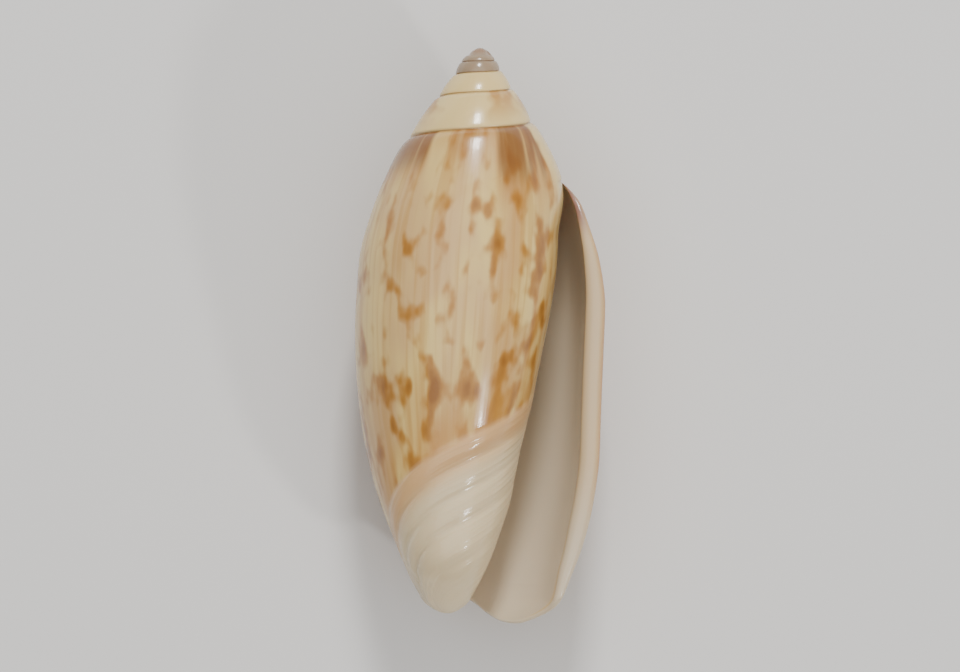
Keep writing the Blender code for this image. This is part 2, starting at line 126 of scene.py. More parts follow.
# Pad of glaze behind the lip's upper end: its thickness, then the first and last growth angle
# and depth that it covers, each with the width of its soft edge
CALLUS_PAD = 0.24
CALLUS_PAD_ANGLES = (-125.0, -62.0, 24.0)
CALLUS_PAD_DEPTHS = (4.6, 7.4, 2.2)

# Siphonal margin: growth angles, and the depth where the wall ends there. It runs from the
# lip's end up across the back, and meets the columella at the notch's end
MARGIN_ANGLES = (-100.0, 0.0, 55.0, 90.0, 120.0, 140.0, 160.0, 180.0, 199.0, 212.0, 218.0,
                 230.0, 242.0, 254.0, 285.0)
MARGIN_DEPTHS = (24.35, 24.35, 23.60, 23.00, 22.80, 23.05, 23.65, 24.30, 24.85, 25.23, 25.41,
                 25.67, 25.84, 25.91, 25.91)
MARGIN_THICKNESS = 0.30
MARGIN_THINNING = 2.5     # the wall thins to that over this depth
NOTCH_END = 115           # column where the wall's margin meets the columella
NOTCH_CLOSING = 16.0      # behind it the hollow is closed within these degrees
NOTCH_FLARE = 50.0        # the columella widens to meet it over these degrees
NOTCH_FLOOR_RISE = 35.0   # and the hollow's floor rises from it over these degrees
KNOB_SAG = 0.4            # the columella's tip lies this much further back
KNOB_SAG_START = 23.6     # from this depth on
KNOB_BLEND = 3.0          # depth over which the columella turns into its free end
KNOB_BLEND_ANGLE = 30.0   # and the degrees over which it does so behind the notch

# The flat spot that the shell rests on
REST_FLATTENING = 0.10

# The curve of the flank is rounded off below the shoulder
PROFILE_SOFTENING = 0.8   # over this depth to either side
PROFILE_START = 0.5       # from this depth below the suture
PROFILE_FADE = 1.2        # and in full this much further down
PROFILE_STEP = 0.05       # step of the table that it is read from
PROFILE_SPARE = 4.0       # the table reaches this far past the tip

# Mesh: columns to one whorl, and rows from the suture down. Those of the spire are shares of
# a whorl's height
COLUMNS = 240
SPIRE_ROWS = (0.0, 0.02, 0.05, 0.09, 0.15, 0.25, 0.37, 0.50, 0.62, 0.74, 0.84, 0.92, 0.965, 0.99,
              1.0)
UPPER_FLANK_ROWS = 70
FOLD_BAND_ROWS = 9
MARGIN_ROWS = 18
KNOB_ROWS = 12
RIM_ROWS = 10
APEX_RINGS = ((0.66, 0.42), (0.33, 0.10))   # width and height, as shares of the first whorl's

# Sheets of the skin, and the masks that each attribute of the mesh carries to the material
OUTSIDE, SPIRE, KNOB, INNER_WALL, OUTER_WALL, LIP, MARGIN, DEEP_END = range(1, 9)
ZONES = ("callus", "fasciole", "inside", "protoconch")
MARKS = ("flame", "rim", "density", "pale")
LINES = ("seam_and_shade", "stain", "edge_line")

# Flames below the suture: first and last growth angle, strength, length
FLAMES = (
    (-62.0, -16.0, 1.0, 3.4), (-6.0, 24.0, 0.5, 2.0), (38.0, 92.0, 1.0, 2.2),
    (106.0, 132.0, 0.9, 3.0), (137.0, 152.0, 0.8, 2.2), (170.0, 206.0, 1.0, 3.6),
    (212.0, 244.0, 0.9, 3.0), (262.0, 276.0, 0.9, 2.2),
)
FLAME_SOFTNESS = 7.0
FLAME_HEM = 1.3           # depth of the brown hem between them
FLAME_HEM_SHARE = 0.4

# Bands of markings, in degrees or millimetres: from, to, and their edges' softness
BLOTCHED_BACK = (95.0, 262.0, 50.0)
STAIN_ANGLES = (250.0, 270.0, 8.0)
EDGE_LINE_DEPTHS = (8.0, 20.0, 3.0)

# Where markings set in or end: growth angle, and the degrees over which they do
BLOTCHED_FRONT = (-50.0, 45.0)
FASCIOLE_END = (150.0, 40.0)
PALE_LIP = (LIP_ANGLE - 9.0, 6.0)
EDGE_LINE = (LIP_ANGLE - 2.5, 2.0)
PROTOCONCH_END = (-860.0, 60.0)
SPIRE_PATCHES = (-620.0, 200.0)

# The same as depths
BLOTCHED_LOW = (13.0, 3.5)
BLOTCHED_LOW_END = (19.0, 2.5)
CALLUS_EDGE_TURN = (3.6, 3.0)
CALLUS_THINNING = (6.6, 1.2)
WHITE_MARGIN = (18.0, 5.0)

# And as depths below the suture
PALE_LIP_TOP = (2.0, 2.0)
STAIN_END = (1.2, 1.6)
RIM_STAIN_END = (1.4, 1.5)

CALLUS_EDGES = (-60.0, -72.0)   # growth angle of its edge, at the suture and lower down
CALLUS_SOFTNESS = 5.0
CALLUS_THIN_SHARE = 0.4
FASCIOLE_SOFTNESS = 0.5
SEAM_AND_SHADE_WIDTH = 0.10               # dark brown line along the sutures, with painted shade in the suture's groove

# How much the blotches cover: everywhere, and more on the back, by the aperture and low down
BLOTCH_SHARES = (0.32, 0.45, 0.60, 0.35)

# Patterns in the surface: frequency round the shell and along it, per millimetre, and detail
PATTERN_STRETCH = 1.5     # the last whorl is wider than its suture by about this factor
CLOUDS = (0.5, 0.16, 2.0)
FINE_STREAKS = (2.6, 0.09, 2.0)
BROAD_STREAKS = (0.8, 0.07, 1.0)
BLOTCH_ROWS = (1.0, 0.07, 1.0)
BLOTCHES = (1.25, 0.62, 1.0)
SMALL_BLOTCHES = (3.0, 1.6, 1.0)
FLAME_STREAKS = (1.5, 0.12, 2.0)
GLAZE_PATCHES = (0.55, 0.6, 2.0)
GROWTH_LINES = (6.0, 0.20, 3.0)
RIDGES_ACROSS = 3.4       # ridges of the fasciole, across the folds
RIDGES_ALONG = 0.12       # and along them
RIDGES_DETAIL = 2.0
RELIEF_HEIGHT = 0.00012   # metres


def srgb(red, green, blue):
    """A colour seen on screen, 0 to 255, as the renderer's own values."""
    values = []
    for value in (red, green, blue):
        share = value / 255.0
        values.append(share / 12.92 if share <= 0.04045 else ((share + 0.055) / 1.055) ** 2.4)
    return (*values, 1.0)


CREAM = srgb(232, 201, 124)
PINK_CREAM = srgb(216, 178, 120)
TAN = srgb(196, 148, 80)
WARM_TAN = srgb(198, 146, 76)
ORANGE_BROWN = srgb(176, 116, 36)
DARK_BROWN = srgb(134, 80, 20)
FLAME_EDGE = srgb(168, 106, 38)
FLAME_INSIDE = srgb(132, 84, 40)
OCHRE = srgb(196, 138, 56)
# Brown of the suture lines; it also paints the shade in the suture's groove
SUTURE_BROWN_AND_SHADE = srgb(134, 82, 38)
GLAZE = srgb(230, 201, 136)
PROTOCONCH = srgb(158, 136, 110)
FASCIOLE_UPPER = srgb(216, 172, 118)
FASCIOLE_WHITE = srgb(224, 202, 160)
LIP_BAND = srgb(216, 172, 124)
RIM = srgb(208, 182, 142)
RIM_LINE = srgb(166, 100, 58)
PURPLE_STAIN = srgb(118, 66, 76)
INSIDE = srgb(211, 194, 166)

# Floor, camera and light, in metres and watts
FLOOR_SIZE = 0.6
FLOOR_COLOUR = srgb(225, 223, 220)
CAMERA_DISTANCE = 0.5
CAMERA_SENSOR = 36.0      # millimetres
PICTURE_WIDTH = 0.0434    # width of the picture at the shell's middle height
SHELL_MIDDLE = (0.0, 0.0, 0.005)
WORLD_STRENGTH = 0.26
LIGHTS = (                # name, place, width, height, power
    ("spire_side", (0.02, 0.30, 0.24), 0.06, 0.10, 1.2),
    ("siphon_side", (0.265, -0.22, 0.25), 0.035, 0.035, 0.5),
    ("overhead", (0.02, -0.05, 0.64), 0.90, 0.90, 3.0),
)


def smoothstep(value):
    """0 up to 0, 1 from 1 on, smooth in between."""
    value = min(max(value, 0.0), 1.0)
    return value * value * (3.0 - 2.0 * value)


def rise(value, start, length):
    """0 up to the start, 1 once the length is passed, smooth in between."""
    return smoothstep((value - start) / length)


def mix(first, second, share):
    """The first value at share 0, the second at share 1."""
    return first + (second - first) * share


def band(value, low, high, soft):
    """1 between two values, fading to 0 outside them."""
    return smoothstep((value - low) / soft + 0.5) * smoothstep((high - value) / soft + 0.5)


def curve_through(knots, values):
    """A smooth curve through the points that doesn't overshoot them."""
    count = len(knots)
    steps = [knots[i + 1] - knots[i] for i in range(count - 1)]
    slopes = [(values[i + 1] - values[i]) / steps[i] for i in range(count - 1)]
    tangents = [slopes[0]] + [0.0] * (count - 2) + [slopes[-1]]
    for i in range(1, count - 1):
        before, after = slopes[i - 1], slopes[i]
        if before * after > 0.0:
            tangents[i] = 2.0 * before * after / (before + after)

    def read(at):
        if at <= knots[0]:
            return values[0] + tangents[0] * (at - knots[0])
        if at >= knots[-1]:
            return values[-1] + tangents[-1] * (at - knots[-1])
        i = min(bisect.bisect_right(knots, at) - 1, count - 2)
        t = (at - knots[i]) / steps[i]
        h00 = (1 + 2 * t) * (1 - t) ** 2
        h10 = t * (1 - t) ** 2
        h01 = t * t * (3 - 2 * t)
        h11 = t * t * (t - 1)
        return (h00 * values[i] + h01 * values[i + 1]
                + steps[i] * (h10 * tangents[i] + h11 * tangents[i + 1]))

    return read


def suture_radius(angle):
    """Distance of the suture from the axis."""
    turns = (angle + 90.0) / 360.0
    swell = PROTOCONCH_SWELL * smoothstep((-angle - 720.0) / 250.0)
    return SUTURE_RADIUS * SUTURE_WIDENING ** turns + swell


def suture_depth(angle):
    """Depth of the suture: it winds down, and leans with the coil's own axis."""
    turns = (angle + 90.0) / 360.0
    tilt = COIL_TILT * suture_radius(angle) * math.sin(math.radians(angle))
    return SUTURE_DEPTH * SUTURE_STEP ** turns - tilt


LIP_SUTURE = suture_depth(LIP_ANGLE)


def lip_lead(depth):
    """Degrees by which the lip, and each growth line, reaches past its start."""
    if depth <= LIP_SUTURE:
        return 0.0
    forward = (1.0 - (1.0 - min((depth - LIP_SUTURE) / LIP_CURVE, 1.0)) ** 4) ** 0.6
    back = rise(depth, LIP_END, LIP_TURN_LENGTH)
    return LIP_LEAD * forward - LIP_TURN_BACK * back


def flank_profile(angle):
    """The outside's distance from the axis at a station, as a function of depth."""
    suture = suture_depth(angle)
    radius = suture_radius(angle)
    knots = (suture, suture + SHOULDER_DROP, suture + 1.0) + FLANK_DEPTHS
    radii = (radius, radius + SHOULDER_RISE, SHOULDERS[angle]) + FLANKS[angle]
    return softened(curve_through(knots, radii), suture + PROFILE_START)


def softened(curve, start):
    """The same curve, read from a fine table, with its knots rounded off below the start."""
    depths = np.arange(0.0, TIP_DEPTH + PROFILE_SPARE, PROFILE_STEP)
    plain = np.array([curve(depth) for depth in depths])
    reach = round(PROFILE_SOFTENING / PROFILE_STEP)
    weights = 1.0 + np.cos(np.pi * np.arange(-reach, reach + 1) / (reach + 1))
    soft = np.convolve(np.pad(plain, reach, mode="edge"), weights / weights.sum(), mode="valid")
    below = np.clip((depths - start) / PROFILE_FADE, 0.0, 1.0)
    below = below * below * (3.0 - 2.0 * below)
    below *= np.clip((depths[-1] - 1.0 - depths) / 1.0, 0.0, 1.0)
    table = (plain + (soft - plain) * below).tolist()

    def read(at):
        place_in_table = min(max(at / PROFILE_STEP, 0.0), len(table) - 1.001)
        i = int(place_in_table)
        return table[i] + (table[i + 1] - table[i]) * (place_in_table - i)

    return read


def spline_matrix(knots):
    """Second derivatives of the natural cubic spline, as a matrix over the values."""
    count = len(knots)
    left, right = np.eye(count), np.zeros((count, count))
    for i in range(1, count - 1):
        before, after = knots[i] - knots[i - 1], knots[i + 1] - knots[i]
        left[i, i - 1:i + 2] = before, 2.0 * (before + after), after
        right[i, i - 1:i + 2] = 6.0 / before, -6.0 / before - 6.0 / after, 6.0 / after
    return np.linalg.solve(left, right)


@functools.lru_cache(maxsize=None)
def station_weights(angle):
    """Share of each station's value in a smooth curve through the stations, at this angle."""
    inside = min(max(angle, STATIONS[0]), STATIONS[-1])
    i = min(bisect.bisect_right(STATIONS, inside) - 1, len(STATIONS) - 2)
    step = STATIONS[i + 1] - STATIONS[i]
    t = (inside - STATIONS[i]) / step
    weights = ((1.0 - t) * UNIT[i] + t * UNIT[i + 1]
               + ((1.0 - t) ** 3 - (1.0 - t)) * step ** 2 / 6.0 * BENDS[i]
               + (t ** 3 - t) * step ** 2 / 6.0 * BENDS[i + 1])
    slope = ((UNIT[i + 1] - UNIT[i]) / step
             - (3.0 * (1.0 - t) ** 2 - 1.0) * step / 6.0 * BENDS[i]
             + (3.0 * t ** 2 - 1.0) * step / 6.0 * BENDS[i + 1])
    return (weights + slope * (angle - inside)).tolist()


read_margin = curve_through(MARGIN_ANGLES, MARGIN_DEPTHS)
hollow_floor = curve_through(FLOOR_ANGLES, FLOOR_DEPTHS)
lip_thickness = curve_through([depth for depth, _ in LIP_THICKNESS],
                              [size for _, size in LIP_THICKNESS])
STATIONS = sorted(FLANKS)
PROFILES = {angle: flank_profile(angle) for angle in STATIONS}
STATION_SUTURES = {angle: suture_depth(angle) for angle in STATIONS}
BENDS = spline_matrix(STATIONS)
UNIT = np.eye(len(STATIONS))


def fold_relief(angle, depth):
    """Bulging folds of the fasciole, pinched along slanting lines."""
    level = depth - slant(angle)
    if not FOLD_LINES[0] < level < FOLD_LINES[-1]:
        return 0.0
    i = bisect.bisect_right(FOLD_LINES, level) - 1
    share = (level - FOLD_LINES[i]) / (FOLD_LINES[i + 1] - FOLD_LINES[i])
    fade = 1.0 - rise(angle, FOLD_FADE_ANGLE, FOLD_END_ANGLE - FOLD_FADE_ANGLE)
    fade *= mix(FOLD_FRONT_SHARE, 1.0, rise(angle, FOLD_FRONT_ANGLE, FOLD_FRONT_LENGTH))
    pinch = share if i == 0 else 1.0 - share if i == len(FOLD_LINES) - 2 else 1.0
    return FOLD_HEIGHT * fade * (math.sin(math.pi * share) ** 0.7 - FOLD_PINCH * pinch)


def body_radius(angle, depth):
    """Distance of the body whorl's outside from the axis."""
    suture = suture_depth(angle)
    share = (depth - suture) / (FLANK_END - suture)
    total = 0.0
    for station, weight in zip(STATIONS, station_weights(round(angle, 4))):
        start = STATION_SUTURES[station]
        total += weight * math.log(PROFILES[station](start + share * (FLANK_END - start)))
    pad = CALLUS_PAD * band(angle, *CALLUS_PAD_ANGLES) * band(depth, *CALLUS_PAD_DEPTHS)
    return math.exp(total) + fold_relief(angle, depth) + pad


def spire_radius(angle, share):
    """Distance of a spire whorl's outside from the axis, share of its height down."""
    above = suture_radius(angle)
    below = suture_radius(angle + 360.0)
    size = (below / suture_radius(LIP_ANGLE)) ** WHORL_SCALING
    if share <= 0.0:
        return above
    if share >= 1.0:
        return below
    upper = above + WHORL_RISE * size * smoothstep(share / 0.08)
    lower = below + WHORL_OVERHANG * size * smoothstep((1.0 - share) / 0.05)
    return mix(upper, lower, share) + WHORL_BULGE * size * math.sin(math.pi * share)


def axis_offset(depth):
    """Where the columella's axis lies at this depth, X and Z."""
    lean = AXIS_LEAN * depth * smoothstep(depth / AXIS_LEAN_START)
    return -lean, -AXIS_SAG * depth


def place(angle, radius, depth):
    """Point of the shell, in millimetres, apex at the origin and length along -Y."""
    turn = math.radians(angle)
    x, z = axis_offset(depth)
    return (x - radius * math.sin(turn), -depth, z + radius * math.cos(turn))


def column_start(column):
    """Growth angle at which a column of the mesh leaves the suture."""
    return LIP_ANGLE - 360.0 * column / COLUMNS


def column_angle(column, depth):
    """Growth angle of a column at this depth."""
    return column_start(column) + lip_lead(depth)


NOTCH_START = column_start(NOTCH_END)     # growth angle of the notch's end


def slant(angle):
    """How much lower the folds run at this angle than at angle 0."""
    return FOLD_SLOPE * angle + FOLD_CURVE * max(angle, 0.0) ** 2


@functools.lru_cache(maxsize=None)
def margin_depth(column):
    """Depth where the wall of this column ends."""
    depth = FLANK_END
    for _ in range(6):
        depth = mix(depth, read_margin(column_angle(column, depth)), 0.7)
    return depth


def flank_depths(column):
    """Depths of the body whorl's rows below the suture; the lower rows run with the folds."""
    start = column_start(column)
    suture = suture_depth(start)
    above = suture_depth(LIP_ANGLE - 360.0)
    margin = margin_depth(column)
    first = mix(suture, FLANK_END, (LIP_SUTURE - above) / (FLANK_END - above))
    drop = min(slant(start + LIP_LEAD), FOLD_DROP_LIMIT)
    lines = [min(line + drop, mix(min(margin, FLANK_END) - 0.35, line + drop, 0.03))
             for line in FOLD_LINES]
    depths = [mix(suture, first, row) for row in SPIRE_ROWS]
    depths += [mix(first, lines[0], i / UPPER_FLANK_ROWS) for i in range(1, UPPER_FLANK_ROWS + 1)]
    for upper, lower in zip(lines, lines[1:]):
        depths += [mix(upper, lower, i / FOLD_BAND_ROWS) for i in range(1, FOLD_BAND_ROWS + 1)]
    depths += [mix(lines[-1], margin, i / MARGIN_ROWS) for i in range(1, MARGIN_ROWS + 1)]
    return depths


def wall_radius(angle, depth):
    """The body whorl's outside, with the rounded end of the lip side."""
    beyond = max(depth - FLANK_END, 0.0) / LIP_END_HEIGHT
    return body_radius(angle, depth) * math.sqrt(max(1.0 - beyond * beyond, 0.0))


def knob_radius(start, depth):
    """The columella's free end, behind: its core, wider where the margin meets it."""
    core = body_radius(LIP_ANGLE - 360.0 + lip_lead(depth), depth)
    meeting = body_radius(NOTCH_START + lip_lead(depth), depth)
    return mix(meeting, core, rise(start, NOTCH_START, NOTCH_FLARE))


def knob_depths(top):
    """Depths of the rows on the columella's free end, from below its top to the tip."""
    depths = [mix(top, FLANK_END, i / 2.0) for i in (1, 2)]
    depths += [FLANK_END + (TIP_DEPTH - FLANK_END) * math.sin(math.pi / 2.0 * i / KNOB_ROWS)
               for i in range(1, KNOB_ROWS)]
    return depths


def eased(column, depth):
    """Moves a point near the corner of the lip's edge and the margin, so that it is round."""
    across = CORNER_ROUNDING - math.radians((column * 360.0) / COLUMNS) * CORNER_RADIUS
    up = CORNER_ROUNDING - (margin_depth(column) - depth)
    if across <= 0.0 or up <= 0.0:
        return column, depth
    twice = 2.0 * CORNER_ROUNDING ** 2
    new_across = across * math.sqrt(1.0 - up * up / twice)
    new_up = up * math.sqrt(1.0 - across * across / twice)
    new_column = math.degrees((CORNER_ROUNDING - new_across) / CORNER_RADIUS) * COLUMNS / 360.0
    return new_column, margin_depth(new_column) - (CORNER_ROUNDING - new_up)


def body_point(column, depth):
    """Point of the outside. Its upper part grows out of the spire whorl before it."""
    column, depth = eased(column, depth)
    angle = column_angle(column, depth)
    radius = wall_radius(angle, depth)
    last_turn = (depth - suture_depth(angle)) / (LIP_SUTURE - suture_depth(-100.0))
    if angle < -60.0 and last_turn < 1.0:
        spire = spire_radius(angle, last_turn)
        radius = mix(spire, radius, rise(angle, -100.0, 40.0))
    if column >= NOTCH_END:
        return knob_end(angle, radius, depth)
    return place(angle, radius, depth)


def knob_end(angle, radius, depth):
    """Point of the columella's free end, which closes to a rounded tip that lies back a little."""
    beyond = max(depth - FLANK_END, 0.0) / (TIP_DEPTH - FLANK_END)
    x, y, z = place(angle, radius * math.sqrt(max(1.0 - beyond * beyond, 0.0)), depth)
    return x, y, z - KNOB_SAG * rise(depth, KNOB_SAG_START, TIP_DEPTH - KNOB_SAG_START)


def knob_points(start, top, radius_at):
    """Points down the columella's free end from its top, where its radius is a function."""
    points = []
    for depth in knob_depths(top):
        angle = start + lip_lead(depth)
        points.append(knob_end(angle, radius_at(angle, depth), depth))
    return points


def wall_thickness(start, depth, margin):
    """Thickness of the outer wall: thick at the lip, thin along the siphonal margin."""
    thickness = lip_thickness(depth)
    inward = smoothstep((LIP_ANGLE - start) / WALL_THINNING)
    thickness = mix(thickness, min(thickness, WALL_THICKNESS), inward)
    edge = MARGIN_THICKNESS * rise(start, NOTCH_START, WALL_THINNING)
    above = min(max((margin - depth) / MARGIN_THINNING, 0.0), 1.0)
    thickness = mix(edge, thickness, above * (2.0 - above))
    return thickness * smoothstep(depth - suture_depth(start))


@functools.lru_cache(maxsize=None)
def hollow_ends(column):
    """Depths of the hollow's roof and foot in this column, and the foot's radius."""
    start = column_start(column)
    inward = LIP_ANGLE - start
    roof = suture_depth(start) + ROOF_THICKNESS * smoothstep(inward / WALL_THINNING)
    if column <= NOTCH_END:
        foot = margin_depth(column)
        return roof, foot, wall_radius(start + lip_lead(foot), foot)
    notch = margin_depth(NOTCH_END)
    closing = smoothstep((NOTCH_START - start) / NOTCH_FLOOR_RISE)
    foot = mix(notch, hollow_floor(start), closing)
    outside = wall_radius(start + lip_lead(foot), foot)
    middle = (outside - WALL_THICKNESS + columella_radius(start, foot)) / 2.0
    wall = WALL_THICKNESS * smoothstep((NOTCH_START - start) / NOTCH_CLOSING)
    return roof, foot, min(mix(outside, middle, closing), outside - wall)


def columella_radius(start, depth):
    """The whorl before, further in: narrower by the coil's own growth."""
    flank = body_radius(start - 360.0 + lip_lead(depth), depth)
    return flank * SUTURE_WIDENING ** ((start - LIP_ANGLE) / 360.0)


def rounded(radius, middle, height, rounding):
    """Pulls a wall in to the middle of the hollow near its roof or its foot."""
    share = min(max(height / rounding, 0.0), 1.0)
    return middle + (radius - middle) * math.sqrt(1.0 - (1.0 - share) ** 2)


def hollow_radii(column, depth):
    """Inner and outer radius of the hollow."""
    start = column_start(column)
    roof, foot, foot_radius = hollow_ends(column)
    inner = columella_radius(start, depth)
    knob = smoothstep((depth - foot + KNOB_BLEND) / KNOB_BLEND)
    knob *= smoothstep((start - NOTCH_START + KNOB_BLEND_ANGLE) / KNOB_BLEND_ANGLE)
    inner = mix(inner, knob_radius(start, depth), knob)
    outside = wall_radius(start + lip_lead(depth), depth)
    wall = WALL_THICKNESS * smoothstep((NOTCH_START - start) / NOTCH_CLOSING)
    outer = outside - max(wall_thickness(start, depth, foot), wall)
    inner = min(inner, outer - LEAST_GAP)
    middle = (inner + outer) / 2.0
    inner = rounded(inner, middle, depth - roof, ROOF_ROUNDING)
    outer = rounded(outer, middle, depth - roof, ROOF_ROUNDING)
    if column > NOTCH_END:
        inner = rounded(inner, foot_radius, foot - depth, FLOOR_ROUNDING)
        outer = rounded(outer, foot_radius, foot - depth, FLOOR_ROUNDING)
    return inner, outer


def shares(depths):
    """The depths as shares of the way from the first to the last."""
    return [(depth - depths[0]) / (depths[-1] - depths[0]) for depth in depths]


def build_shell():
    """The whole skin: the outside, the lip's rolled edge and the hollow's two walls."""
    mesh = bmesh.new()
    mesh.loops.layers.float_vector.new("growth")
    tip = mesh.verts.new(knob_end(0.0, 0.0, TIP_DEPTH))
    last_spire_row = len(SPIRE_ROWS) - 1

    outside = []
    for column in range(COLUMNS + 1):
        verts = [mesh.verts.new(body_point(column, depth)) for depth in flank_depths(column)]
        if column == COLUMNS:
            mesh.verts.remove(verts[last_spire_row])
            verts[last_spire_row] = outside[0][0]
        outside.append(verts)
    knobs = {}
    for column in range(NOTCH_END, COLUMNS + 1):
        points = knob_points(column_start(column), margin_depth(column), body_radius)
        knobs[column] = [outside[column][-1]] + [mesh.verts.new(p) for p in points] + [tip]

    inner, outer = build_hollow(mesh, outside, knobs, last_spire_row)
    spire = [outside[COLUMNS][:last_spire_row + 1]]
    tops = [verts[0] for verts in outside]
    for column in range(COLUMNS + 1, COLUMNS * (SPIRE_TURNS + 1) + 1):
        angle = column_start(column)
        top, bottom = suture_depth(angle), suture_depth(angle + 360.0)
        verts = [mesh.verts.new(place(angle, spire_radius(angle, share), mix(top, bottom, share)))
                 for share in SPIRE_ROWS[:-1]]
        tops.append(verts[0])
        spire.append(verts + [tops[column - COLUMNS]])

    loft(mesh, outside, OUTSIDE)
    loft(mesh, [knobs[column] for column in sorted(knobs)], KNOB, NOTCH_END)
    loft(mesh, spire, SPIRE, COLUMNS)
    loft(mesh, inner, INNER_WALL)
    loft(mesh, outer, OUTER_WALL)
    bridge(mesh, outer[-1], inner[-1])
    close_apex(mesh, spire)
    return mesh


def build_hollow(mesh, outside, knobs, last_spire_row):
    """Columns of the hollow's inner and outer wall, joined to the outside along the lip."""
    inner_shares = shares(depths_of(outside[COLUMNS][last_spire_row:]))
    step = inner_shares[1] / (last_spire_row + 1)
    deep_shares = [step * i for i in range(last_spire_row + 1)] + inner_shares[1:]
    knob_top = depths_of(outside[COLUMNS])[-1]
    tip = knobs[COLUMNS][-1]
    inner, outer, backs = [outside[COLUMNS][last_spire_row:]], [], [knobs[COLUMNS]]

    for column in range(round((LIP_ANGLE - HOLLOW_END) * COLUMNS / 360.0) + 1):
        start = column_start(column)
        roof, foot, _ = hollow_ends(column)
        if column > 0:
            inner_foot = mix(knob_top, foot, min(column / NOTCH_END, 1.0))
            depths = [mix(roof, inner_foot, share) for share in inner_shares]
            verts = [wall_vert(mesh, column, depth, 0) for depth in depths]
            if column == NOTCH_END:
                verts = end_at(mesh, verts, outside[NOTCH_END][-1])
                backs.append(knobs[NOTCH_END])
            elif column < NOTCH_END:
                points = knob_points(start, inner_foot, lambda angle, d: knob_radius(start, d))
                backs.append([verts[-1]] + [mesh.verts.new(point) for point in points] + [tip])
            inner.append(verts)
        blend = smoothstep(column / NOTCH_END)
        lip_shares = shares(depths_of(outside[column]))
        depths = [mix(roof, foot, mix(near, deep, blend))
                  for near, deep in zip(lip_shares, deep_shares)]
        verts = [inner[column][0]] + [wall_vert(mesh, column, depth, 1) for depth in depths[1:]]
        if column >= NOTCH_END:
            verts = end_at(mesh, verts, inner[column][-1])
        outer.append(verts)

    first_row = outside[0] + [verts[-1] for verts in outside[1:NOTCH_END + 1]]
    second_row = outer[0] + [verts[-1] for verts in outer[1:NOTCH_END + 1]]
    edge = roll_edge(mesh, first_row, second_row)
    lip_rows = len(outside[0])
    lip, margin = edge[:lip_rows], edge[lip_rows - 1:]
    loft(mesh, backs, KNOB)
    loft(mesh, lip, LIP)
    loft(mesh, margin, MARGIN)
    return inner, outer


def depths_of(verts):
    """Depth of each vertex."""
    return [-vert.co.y for vert in verts]


def wall_vert(mesh, column, depth, side):
    """Point of the hollow's inner wall (side 0) or outer wall (side 1)."""
    if side == 1:
        column, depth = eased(column, depth)
    angle = column_start(column) + lip_lead(depth)
    return mesh.verts.new(place(angle, hollow_radii(column, depth)[side], depth))


def end_at(mesh, verts, shared):
    """The same line of points, but with a shared vertex as its last one."""
    mesh.verts.remove(verts[-1])
    return verts[:-1] + [shared]


def roll_edge(mesh, first_row, second_row):
    """Rows that roll a half round edge from one line of points to another, away from the wall."""
    middles = [(first.co + second.co) / 2.0 for first, second in zip(first_row, second_row)]
    last = len(middles) - 1
    rows = []
    for i, (first, second) in enumerate(zip(first_row, second_row)):
        if first is second:
            rows.append([first])
            continue
        a, b = first.co, second.co
        along = middles[min(i + 2, last)] - middles[max(i - 2, 0)]
        out = (b - a).cross(along).normalized() * (b - a).length * LIP_ROLL
        row = [first]
        for step in range(1, RIM_ROWS):
            turn = math.pi * step / RIM_ROWS
            row.append(mesh.verts.new(a.lerp(b, (1.0 - math.cos(turn)) / 2.0)
                                      + out * math.sin(turn)))
        rows.append(row + [second])
    return rows


def loft(mesh, columns, sheet, first_column=0):
    """Faces between neighbouring columns of points; a column of one point is a corner.

    Each corner of a face keeps its growth angle, its depth and the sheet it belongs to. On
    the rolled edge, the sheet's number also holds half of the share of the way across.
    """
    growth = mesh.loops.layers.float_vector["growth"]
    for number, (later, earlier) in enumerate(zip(columns, columns[1:])):
        starts = ((LIP_ANGLE, LIP_ANGLE) if sheet == LIP else
                  (column_start(first_column + number), column_start(first_column + number + 1)))
        count = max(len(later), len(earlier))
        later = later * count if len(later) == 1 else later
        earlier = earlier * count if len(earlier) == 1 else earlier
        for row in range(count - 1):
            corners = [later[row], earlier[row], earlier[row + 1], later[row + 1]]
            corners = list(dict.fromkeys(corners))
            if len(corners) > 2:
                face = mesh.faces.new(corners)
                for loop in face.loops:
                    start = starts[0] if loop.vert in (later[row], later[row + 1]) else starts[1]
                    share = row if loop.vert in (later[row], earlier[row]) else row + 1
                    part = share / (count - 1) if sheet in (LIP, MARGIN) else 0.0
                    loop[growth] = (start, -loop.vert.co.y, sheet + 0.5 * part)


def mark(mesh, face, start, sheet):
    """Keeps the growth angle, depth and sheet of a face outside the lofts."""
    growth = mesh.loops.layers.float_vector["growth"]
    for loop in face.loops:
        loop[growth] = (start, -loop.vert.co.y, sheet)


def bridge(mesh, outer, inner):
    """Triangles between two lines of points that start and end at the same points."""
    i = j = 0
    while i < len(outer) - 1 or j < len(inner) - 1:
        outer_depth = -outer[i + 1].co.y if i < len(outer) - 1 else math.inf
        inner_depth = -inner[j + 1].co.y if j < len(inner) - 1 else math.inf
        if outer_depth <= inner_depth:
            corners = (outer[i], outer[i + 1], inner[j])
            i += 1
        else:
            corners = (outer[i], inner[j + 1], inner[j])
            j += 1
        if len(set(corners)) == 3:
            mark(mesh, mesh.faces.new(corners), HOLLOW_END, DEEP_END)


